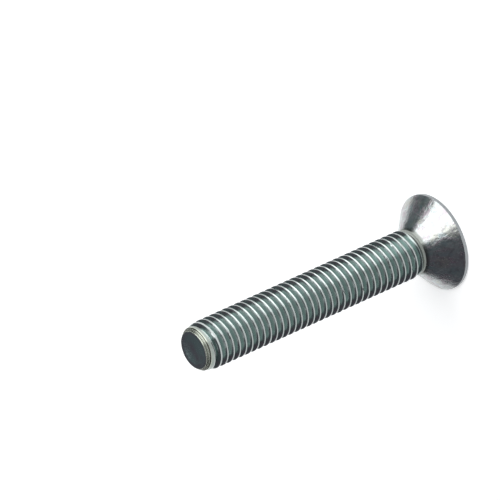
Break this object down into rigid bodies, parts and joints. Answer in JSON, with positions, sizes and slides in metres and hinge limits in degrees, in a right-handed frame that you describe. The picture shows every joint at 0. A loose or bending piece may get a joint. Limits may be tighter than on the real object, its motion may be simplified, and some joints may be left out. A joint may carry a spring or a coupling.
{
  "type": "countersunk socket head screw",
  "caption": "Countersunk flat-head machine screw with a hexagon socket, threaded along its whole shank, for fastening flush with a surface.",
  "frame": {"origin": "centre of the head's flat face, in its plane", "axes": "+Z runs from the flat face along the shank to the point; the screw stands on its head"},
  "size_m": [0.016, 0.016, 0.0495],
  "materials": {
    "zinc_plated_steel": "bright zinc plating over cold-headed steel, lightly scuffed on the crests"
  },
  "bodies": {
    "root": {"screw": "zinc_plated_steel"}
  },
  "joints": []
}
